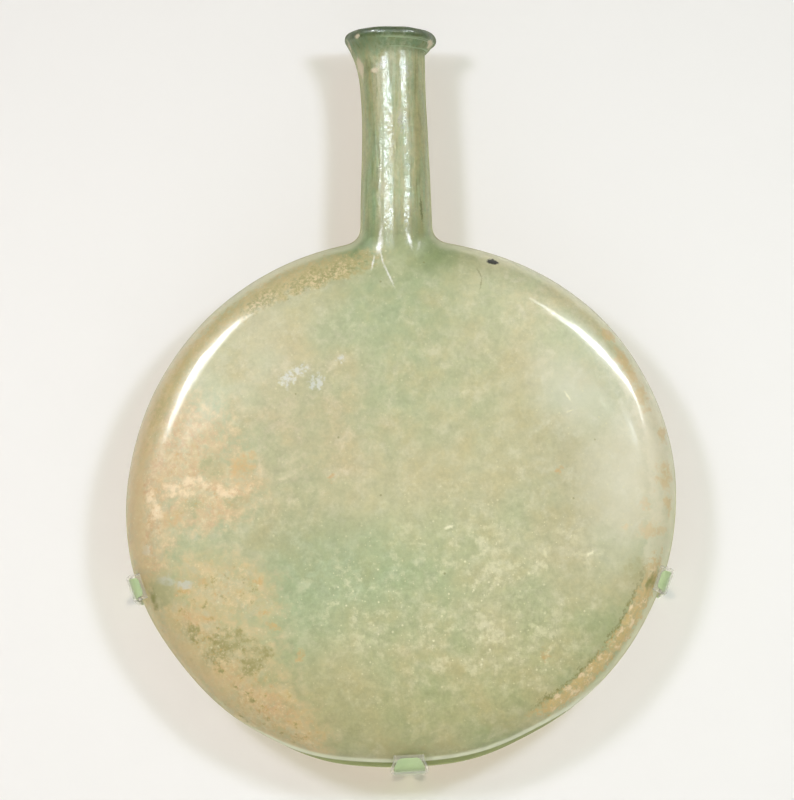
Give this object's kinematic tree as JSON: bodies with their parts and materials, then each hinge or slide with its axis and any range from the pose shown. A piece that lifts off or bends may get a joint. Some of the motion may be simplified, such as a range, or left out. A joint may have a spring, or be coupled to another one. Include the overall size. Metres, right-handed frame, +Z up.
{
  "type": "flat flask",
  "caption": "Flat round blown-glass flask with a tall leaning neck and rolled lip, held upright against a wall by sleeved metal hooks on pins.",
  "frame": {"origin": "middle of the bottom hook's end face, where that hook meets the wall", "axes": "+Z up along the flask's height, +Y into the wall and away from the viewer, +X to the right as the flask's face is seen"},
  "size_m": [0.1832, 0.053, 0.2486],
  "materials": {
    "flask_glass": "pale green blown glass, hazy with weathering, with tan and cream crusts near the edge",
    "hook_paint": "matt pale green paint on brass strip",
    "sleeve_plastic": "clear flexible tube, slightly yellowed",
    "pin_brass": "drawn brass rod, dulled"
  },
  "bodies": {
    "wall_clips": {"bottom_hook": "hook_paint", "left_hook": "hook_paint", "right_hook": "hook_paint", "bottom_sleeve": "sleeve_plastic", "left_sleeve": "sleeve_plastic", "right_sleeve": "sleeve_plastic", "bottom_pin": "pin_brass", "left_pin": "pin_brass", "right_pin": "pin_brass"},
    "flask": {"flask": "flask_glass"}
  },
  "joints": [
    {"name": "flask_lift", "type": "slide", "parent": "wall_clips", "child": "flask", "axis": [0, 0, 1], "range_m": [0, 0.09]}
  ]
}
